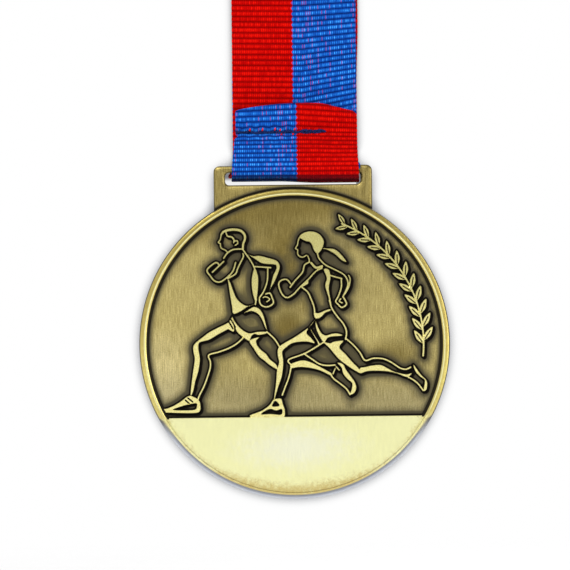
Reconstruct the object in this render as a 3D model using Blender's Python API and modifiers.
"""A sports finisher medal on its neck ribbon, in metres, +Z up.

The medal is one casting: a disc with a beaded rim, a recessed field with two runners, a flat panel
below them, and a tab whose wide slot leaves a bar at the top. One woven ribbon makes the neck loop.
Its two ends lie on each other, pass behind the bar, come out through the slot, turn up in front and
are held by one line of stitches. The ribbon is cut into lengths here, because each length that
bends or twists against the next one is a rigid body of its own.

The front faces -Y. The origin is the centre of the flat field on the medal's back.
"""

import math

import bmesh
import bpy
from mathutils import Matrix, Vector

# --- Medal ---------------------------------------------------------------------------------------
DISC_RADIUS = 0.0300
FIELD_HEIGHT = 0.0020  # front field above the back field: the thickness of the disc's web
RIM_HEIGHT = 0.0027  # the rim's crown above the back field
BACK_RIM = 0.0003  # how far the back rim stands behind the back field
RIM_WIDTH = 0.00135
WALL_RUN = 0.0006  # the sloping wall between the rim and the field
PANEL_TOP = -0.0141  # the flat panel fills the disc below this height
PANEL_HEIGHT = 0.0026
DISC_STEPS = 96

TAB_WIDTH = 0.0306
TAB_TOP = 0.03445
TAB_THICKNESS = 0.0022
TAB_CORNER = 0.0016
SLOT_WIDTH = 0.0262
SLOT_LOW = 0.03075
SLOT_HIGH = 0.0332
SLOT_CORNER = 0.0010

SHARP_ANGLE = math.radians(25)

FIGURE_HEIGHT = 0.0025  # the runners stand a little below the rim's crown
PLATE_ROOT = 0.0014  # raised plates start this far inside the disc, above the back field

# --- Ribbon --------------------------------------------------------------------------------------
RIBBON_WIDTH = 0.0244
RIBBON_THICKNESS = 0.00035
LAYER_PITCH = 0.00065  # from one layer's middle to the next, which leaves a 0.3 mm gap
BAR_Y = -TAB_THICKNESS / 2
BAR_Z = (SLOT_HIGH + TAB_TOP) / 2
INNER_WRAP = 0.00173  # radius of the inner layer's middle, round the bar
OUTER_WRAP = INNER_WRAP + LAYER_PITCH
STITCH_Z = 0.0411
FLAP_TOP = 0.0462
INNER_FLAP_TOP = 0.0452
FLEX_Z = 0.0490  # the ribbon bends here, just above the sewn end
TWIST_Z = 0.0700  # and twists here
FLEX_GAP = 0.0009  # between the two lengths of ribbon that bend against each other
TWIST_GAP = 0.0003  # between the two that twist
STACK_Y = BAR_Y + LAYER_PITCH  # the middle of the two straps above the sewn end
SIDE_SHIFT = 0.0005  # the ribbon sits a little to the right in its slot
NAPE_FLAT = 0.020  # length of the flat stretch behind the neck
LOOP_STEPS = 6  # spans between two of the neck loop's given places

# --- Sewing thread -------------------------------------------------------------------------------
THREAD_RADIUS = 0.00016
THREAD_CLEARANCE = 0.0001
STITCH_LENGTH = 0.00245
STITCH_START = -0.0107
STITCH_COUNT = 7
STITCH_SWAY = 0.00018


def clear_scene():
    for obj in list(bpy.data.objects):
        bpy.data.objects.remove(obj)


def new_collection(name):
    collection = bpy.data.collections.new(name)
    bpy.context.scene.collection.children.link(collection)
    return collection


def new_material(name, colour, roughness, metallic):
    material = bpy.data.materials.new(name)
    material.use_nodes = True
    shader = material.node_tree.nodes["Principled BSDF"]
    shader.inputs["Base Color"].default_value = (*colour, 1.0)
    shader.inputs["Roughness"].default_value = roughness
    shader.inputs["Metallic"].default_value = metallic
    return material


def add_object(name, data, collection, material=None):
    obj = bpy.data.objects.new(name, data)
    collection.objects.link(obj)
    if material:
        data.materials.append(material)
    return obj


def as_helper(obj):
    obj.hide_render = True
    obj.display_type = "WIRE"
    return obj


def face_front(obj, height=0.0):
    """Turns local +Z to the front (-Y) and local +Y up, height above the back field."""
    obj.matrix_world = Matrix.Translation((0, -height, 0)) @ Matrix.Rotation(math.pi / 2, 4, "X")


def arc(centre, radius, start, end, steps):
    """Points on an arc from start to end, in degrees, both included."""
    turn = math.radians(end - start) / steps
    first = math.radians(start)
    return [
        (centre[0] + radius * math.cos(first + turn * i), centre[1] + radius * math.sin(first + turn * i))
        for i in range(steps + 1)
    ]


def smooth(share):
    """0 to 1 with no slope at either end."""
    share = min(max(share, 0.0), 1.0)
    return share * share * (3 - 2 * share)


def plate(name, outline, low, high, collection):
    """A flat plate cut to an outline seen from the front, between two heights above the back field."""
    curve = bpy.data.curves.new(name, "CURVE")
    curve.dimensions = "2D"
    curve.fill_mode = "BOTH"
    curve.extrude = (high - low) / 2
    spline = curve.splines.new("POLY")
    spline.points.add(len(outline) - 1)
    for point, (x, z) in zip(spline.points, outline):
        point.co = (x, z, 0, 1)
    spline.use_cyclic_u = True
    drawn = add_object(name + "_curve", curve, collection)
    face_front(drawn, (low + high) / 2)
    bpy.context.view_layer.update()
    graph = bpy.context.evaluated_depsgraph_get()
    mesh = bpy.data.meshes.new_from_object(drawn.evaluated_get(graph))
    weld = bmesh.new()
    weld.from_mesh(mesh)
    bmesh.ops.remove_doubles(weld, verts=weld.verts, dist=1e-6)
    bmesh.ops.recalc_face_normals(weld, faces=weld.faces)
    weld.to_mesh(mesh)
    weld.free()
    obj = add_object(name, mesh, collection)
    obj.matrix_world = drawn.matrix_world
    bpy.data.objects.remove(drawn)
    return obj


def combine(target, other, operation):
    boolean = target.modifiers.new(other.name, "BOOLEAN")
    boolean.operation = operation
    boolean.object = other


def settle(obj):
    """Applies the modifiers, so that the edges they cut can be marked sharp for smooth shading."""
    bpy.context.view_layer.update()
    graph = bpy.context.evaluated_depsgraph_get()
    mesh = bpy.data.meshes.new_from_object(obj.evaluated_get(graph))
    obj.modifiers.clear()
    obj.data = mesh
    mesh.shade_smooth()
    mesh.set_sharp_from_angle(angle=SHARP_ANGLE)


# --- The medal's casting ---------------------------------------------------------------------------


def disc_profile():
    """Radius and height above the back field, from the front's centre round the rim to the back's."""
    inner_top = DISC_RADIUS - RIM_WIDTH
    crown = RIM_HEIGHT - 0.0004
    bead = arc((DISC_RADIUS - 0.0008, crown), 0.0004, 90, 50, 3)
    edge = arc((DISC_RADIUS - 0.0003, crown - 0.0003), 0.0003, 50, 0, 3)
    back = arc((DISC_RADIUS - 0.0003, 0.0), BACK_RIM, 0, -90, 4)
    return [
        (0, FIELD_HEIGHT),
        (inner_top - WALL_RUN, FIELD_HEIGHT),
        (inner_top, RIM_HEIGHT - 0.00012),
        *bead,
        *edge,
        *back,
        (inner_top, -BACK_RIM),
        (inner_top - BACK_RIM, 0),
        (0, 0),
    ]


def turned_disc(name, collection, material):
    profile = disc_profile()
    mesh = bpy.data.meshes.new(name)
    edges = [(i, i + 1) for i in range(len(profile) - 1)]
    mesh.from_pydata([(radius, 0, height) for radius, height in profile], edges, [])
    obj = add_object(name, mesh, collection, material)
    screw = obj.modifiers.new("Turned", "SCREW")
    screw.steps = screw.render_steps = DISC_STEPS
    screw.use_merge_vertices = True
    screw.merge_threshold = 1e-6
    face_front(obj)
    return obj


def tab_outline():
    """The tab, whose foot follows the rim's middle so that it ends inside the disc."""
    foot = DISC_RADIUS - RIM_WIDTH / 2
    half = TAB_WIDTH / 2
    reach = math.degrees(math.acos(half / foot))
    right, left = half - TAB_CORNER, TAB_CORNER - half
    return [
        *arc((0, 0), foot, 180 - reach, reach, 24),
        *arc((right, TAB_TOP - TAB_CORNER), TAB_CORNER, 0, 90, 6),
        *arc((left, TAB_TOP - TAB_CORNER), TAB_CORNER, 90, 180, 6),
    ]


def slot_outline():
    """The slot's rounded rectangle."""
    right, left = SLOT_WIDTH / 2 - SLOT_CORNER, SLOT_CORNER - SLOT_WIDTH / 2
    low, high = SLOT_LOW + SLOT_CORNER, SLOT_HIGH - SLOT_CORNER
    corners = [((right, low), -90), ((right, high), 0), ((left, high), 90), ((left, low), 180)]
    return [point for centre, start in corners for point in arc(centre, SLOT_CORNER, start, start + 90, 5)]


def panel_outline():
    """The disc's lower segment, out to the middle of the rim."""
    radius = DISC_RADIUS - RIM_WIDTH / 2
    reach = math.degrees(math.asin(-PANEL_TOP / radius))
    return arc((0, 0), radius, 180 + reach, 360 - reach, 48)


def figures():
    """The two runners' silhouettes, as limbs with a half-width at each end, in millimetres.

    Each limb is (from, to, half-width there, half-width here): head, neck and body first, then the
    arms, and then each leg from the hip to the toe.
    """
    man = [
        ((-12.3, 21.0), (-12.2, 19.0), 2.2, 1.9),
        ((-11.2, 16.5), (-10.3, 8.0), 2.9, 2.6),
        ((-10.3, 8.0), (-8.4, 2.6), 2.6, 3.2),
        ((-13.0, 16.0), (-16.4, 13.4), 1.5, 1.2),
        ((-8.4, 15.8), (-5.0, 13.8), 1.2, 1.0),
        ((-5.0, 13.8), (-6.6, 8.4), 1.0, 1.1),
        ((-9.6, 1.6), (-18.0, -3.2), 2.4, 1.6),
        ((-18.0, -3.2), (-19.2, -11.2), 1.6, 0.9),
        ((-19.2, -11.8), (-23.2, -13.3), 0.9, 0.6),
        ((-7.6, 1.2), (-3.4, -5.4), 2.4, 1.6),
        ((-3.4, -5.4), (5.4, -9.8), 1.6, 0.8),
        ((5.4, -9.8), (9.6, -12.2), 0.9, 0.7),
    ]
    woman = [
        ((3.0, 20.4), (3.2, 18.6), 2.1, 1.8),
        ((4.6, 15.6), (5.4, 8.4), 2.2, 1.9),
        ((5.4, 8.4), (7.6, 2.8), 1.9, 2.9),
        ((2.2, 14.4), (-1.2, 11.4), 1.1, 1.2),
        ((7.2, 15.2), (10.4, 13.0), 1.0, 0.9),
        ((10.4, 13.0), (9.4, 8.4), 0.9, 0.9),
        ((6.0, 1.6), (-1.6, -2.4), 2.3, 1.5),
        ((-1.6, -2.4), (-3.0, -11.0), 1.5, 0.8),
        ((-3.0, -12.4), (-6.6, -13.8), 0.8, 0.6),
        ((7.6, 1.4), (13.6, -5.6), 2.4, 1.6),
        ((13.6, -5.6), (22.4, -8.2), 1.5, 0.7),
        ((22.4, -8.2), (24.8, -10.4), 0.9, 0.6),
    ]
    return {"man": man, "woman": woman}


def limb_outline(start, end, start_half, end_half):
    """A limb with round ends, as an outline in metres."""
    start, end = (Vector(point) / 1000 for point in (start, end))
    along = math.degrees(math.atan2(end.y - start.y, end.x - start.x))
    near = arc(start, start_half / 1000, along + 90, along + 270, 6)
    far = arc(end, end_half / 1000, along - 90, along + 90, 6)
    return near + far


def medal_casting(collection, helpers, material):
    obj = turned_disc("medal_casting", collection, material)
    combine(obj, as_helper(plate("tab", tab_outline(), 0.0, TAB_THICKNESS, helpers)), "UNION")
    panel = plate("panel", panel_outline(), PLATE_ROOT, PANEL_HEIGHT, helpers)
    combine(obj, as_helper(panel), "UNION")
    for runner, limbs in figures().items():
        for number, limb in enumerate(limbs):
            # Each limb is 4 micrometres lower than the one before, so that no two tops coincide.
            top = FIGURE_HEIGHT - number * 4e-6 - (1e-4 if runner == "man" else 0)
            name = f"{runner}_limb_{number}"
            combine(obj, as_helper(plate(name, limb_outline(*limb), PLATE_ROOT, top, helpers)), "UNION")
    slot = plate("slot", slot_outline(), -0.001, TAB_THICKNESS + 0.001, helpers)
    combine(obj, as_helper(slot), "DIFFERENCE")
    settle(obj)
    return obj


# --- The ribbon ------------------------------------------------------------------------------------


def sheet(name, path, collection, material, columns=2):
    """A length of ribbon. Each point of path is (middle, direction of the width, half the width)."""
    mesh = bpy.data.meshes.new(name)
    shares = [2 * i / columns - 1 for i in range(columns + 1)]
    points = [middle + across * half * share for middle, across, half in path for share in shares]
    row = columns + 1
    faces = [
        (i * row + j, i * row + j + 1, (i + 1) * row + j + 1, (i + 1) * row + j)
        for i in range(len(path) - 1)
        for j in range(columns)
    ]
    mesh.from_pydata(points, [], faces)
    obj = add_object(name, mesh, collection, material)
    solid = obj.modifiers.new("Thickness", "SOLIDIFY")
    solid.thickness = RIBBON_THICKNESS
    solid.offset = 0
    mesh.shade_smooth()
    return obj


def wrapped_end(radius, strap_y, flap_y, flap_top, flare, shift_top, shift_bar, narrowing):
    """One end of the ribbon: down behind the bar, round under it, and up in front as a flap.

    strap_y and flap_y are the layer's places in the stack, measured from the bar's middle. The flap's
    free end stands flare forward and is narrowing less wide on each side.
    """
    path = []
    half = RIBBON_WIDTH / 2
    top = FLEX_Z - FLEX_GAP / 2
    steps = 12
    for i in range(steps + 1):
        z = top + (BAR_Z - top) * i / steps
        spread = smooth((STITCH_Z - z) / (STITCH_Z - BAR_Z))
        y = BAR_Y + strap_y + (radius - strap_y) * spread
        x = shift_top + (shift_bar - shift_top) * smooth((top - z) / (top - BAR_Z))
        path.append((Vector((x, y, z)), Vector((1, 0, 0)), half))
    for y, z in arc((BAR_Y, BAR_Z), radius, 0, -180, 16)[1:-1]:
        path.append((Vector((shift_bar, y, z)), Vector((1, 0, 0)), half))
    for i in range(steps + 1):
        z = BAR_Z + (flap_top - BAR_Z) * i / steps
        spread = smooth((STITCH_Z - z) / (STITCH_Z - BAR_Z))
        lift = flare * smooth((z - STITCH_Z) / (flap_top - STITCH_Z))
        y = BAR_Y + flap_y - (radius + flap_y) * spread - lift
        end_half = half - narrowing * smooth((z - BAR_Z) / (flap_top - BAR_Z))
        path.append((Vector((shift_bar, y, z)), Vector((1, 0, 0)), end_half))
    return path


def straight_strap(y, shift):
    """A strap's short length between the flex and the twist."""
    low, high = FLEX_Z + FLEX_GAP / 2, TWIST_Z - TWIST_GAP / 2
    across = Vector((1, 0, 0))
    return [(Vector((shift, y, z)), across, RIBBON_WIDTH / 2) for z in (low, (low + high) / 2, high)]


def catmull(points, steps):
    """A smooth curve through points, with steps spans between two of them."""
    ends = [2 * points[0] - points[1], *points, 2 * points[-1] - points[-2]]
    curve = []
    for a, b, c, d in zip(ends, ends[1:], ends[2:], ends[3:]):
        for i in range(steps):
            t = i / steps
            slope = (c - a) * t + (2 * a - 5 * b + 4 * c - d) * t * t + (3 * b - a - 3 * c + d) * t**3
            curve.append(b + slope / 2)
    return [*curve, points[-1]]


def neck_loop():
    """The band from the left strap up over the shoulder, round the nape and down the right strap.

    The left half is given as places and outward normals, as the ribbon lies on a wearer. The right
    half is its mirror image, and each half keeps its own layer where the two lie on each other. A
    flat stretch at the nape joins the halves.
    """
    left = [
        ((0, 0, TWIST_Z + TWIST_GAP / 2), (0, -1, 0)),
        ((-0.0004, 0.0001, 0.082), (0, -1, 0)),
        ((-0.0042, 0.0012, 0.108), (0, -1, 0)),
        ((-0.0145, 0.0040, 0.146), (0, -1, 0.05)),
        ((-0.0360, 0.0115, 0.212), (-0.10, -1, 0.25)),
        ((-0.0600, 0.0290, 0.274), (-0.25, -0.75, 0.60)),
        ((-0.0740, 0.0650, 0.309), (-0.40, -0.10, 0.95)),
        ((-0.0640, 0.1070, 0.320), (-0.50, 0.40, 0.80)),
        ((-0.0380, 0.1340, 0.325), (-0.30, 0.75, 0.62)),
        ((-NAPE_FLAT / 2, 0.1430, 0.3265), (0, 0.8, 0.6)),
    ]
    half = list(
        zip(
            catmull([Vector(place) for place, _ in left], LOOP_STEPS),
            catmull([Vector(normal) for _, normal in left], LOOP_STEPS),
        )
    )
    mirror = Vector((-1, 1, 1))
    band = half + [(place * mirror, normal * mirror) for place, normal in reversed(half)]
    count = len(band) - 1
    path = []
    for i, (middle, normal) in enumerate(band):
        along = band[min(i + 1, count)][0] - band[max(i - 1, 0)][0]
        if i in (0, count):  # each end is cut level, like the strap below it
            along = Vector((0, 0, along.z))
        if 2 * i in (count - 1, count + 1):  # the nape's two ends share one plane
            along = Vector((1, 0, 0))
        across = along.cross(normal).normalized()
        # The left strap is the front layer and the right strap the rear one.
        layer = LAYER_PITCH / 2 * (2 * smooth((i / count - 0.3) / 0.4) - 1)
        if 2 * i in (count - 1, count + 1):
            layer = 0
        path.append((middle + Vector((SIDE_SHIFT, STACK_Y + layer, 0)), across, RIBBON_WIDTH / 2))
    return path


# --- The sewing thread -----------------------------------------------------------------------------


def stitch_line(name, y, sway, collection, material):
    """The thread as it lies on one face of the sewn stack, from stitch to stitch."""
    curve = bpy.data.curves.new(name, "CURVE")
    curve.dimensions = "3D"
    curve.bevel_depth = THREAD_RADIUS
    curve.bevel_resolution = 2
    curve.use_fill_caps = True
    spline = curve.splines.new("POLY")
    per_stitch = 4
    count = STITCH_COUNT * per_stitch + 1
    spline.points.add(count - 1)
    for i, point in enumerate(spline.points):
        x = STITCH_START + i * STITCH_LENGTH / per_stitch
        z = STITCH_Z + sway * math.sin(math.pi * i / per_stitch)
        point.co = (x, y, z, 1)
    return add_object(name, curve, collection, material)


def main():
    clear_scene()
    parts = new_collection("finisher_medal")
    helpers = new_collection("cutters")
    brass = new_material("antique_brass", (0.42, 0.33, 0.14), 0.38, 1.0)
    weave = new_material("ribbon_weave", (0.45, 0.02, 0.05), 0.75, 0.0)
    navy = new_material("navy_thread", (0.02, 0.04, 0.18), 0.6, 0.0)
    red = new_material("red_thread", (0.55, 0.01, 0.01), 0.6, 0.0)

    medal_casting(parts, helpers, brass)

    front, back = LAYER_PITCH / 2, LAYER_PITCH * 1.5
    inner = wrapped_end(INNER_WRAP, front, -front, INNER_FLAP_TOP, 0.0001, 0.0004, -0.0002, 0.0004)
    outer = wrapped_end(OUTER_WRAP, back, -back, FLAP_TOP, 0.0003, SIDE_SHIFT, SIDE_SHIFT, 0.0007)
    sheet("ribbon_inner_end", inner, parts, weave)
    sheet("ribbon_outer_end", outer, parts, weave)
    sheet("ribbon_front_strap", straight_strap(BAR_Y + front, SIDE_SHIFT), parts, weave)
    sheet("ribbon_rear_strap", straight_strap(BAR_Y + back, SIDE_SHIFT), parts, weave)
    sheet("ribbon_neck_loop", neck_loop(), parts, weave)

    clear = RIBBON_THICKNESS / 2 + THREAD_RADIUS + THREAD_CLEARANCE
    stitch_line("needle_thread", BAR_Y - back - clear, STITCH_SWAY, parts, navy)
    stitch_line("bobbin_thread", BAR_Y + back + clear, -STITCH_SWAY, parts, red)


main()
